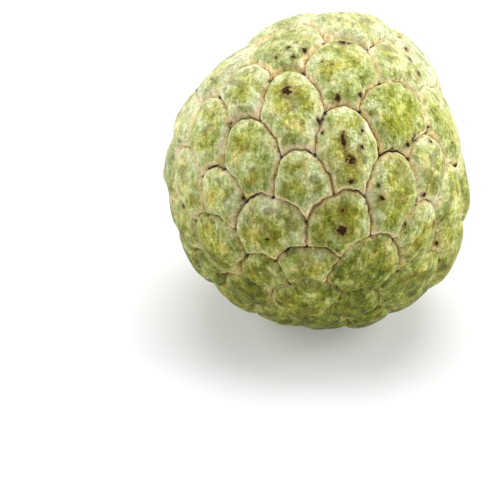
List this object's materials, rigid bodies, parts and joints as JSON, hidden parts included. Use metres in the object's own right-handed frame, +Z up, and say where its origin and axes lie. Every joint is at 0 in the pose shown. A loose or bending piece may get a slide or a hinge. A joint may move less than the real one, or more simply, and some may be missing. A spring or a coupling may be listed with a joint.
{
  "type": "custard apple",
  "caption": "Whole round fruit lying on its flank, skin of raised scales set in a spiral, with a short woody stalk.",
  "frame": {"origin": "on the surface that the fruit lies on, under the middle of its bounding box", "axes": "+Z up; the stalk's end faces up and along +Y, the blossom end down and along -Y, which is the side towards the viewer; +X to the viewer's right"},
  "size_m": [0.09, 0.0922, 0.0917],
  "materials": {
    "skin": null,
    "bark": "rough dark brown bark"
  },
  "bodies": {
    "root": {"fruit": "skin", "stalk": "bark"}
  },
  "joints": []
}
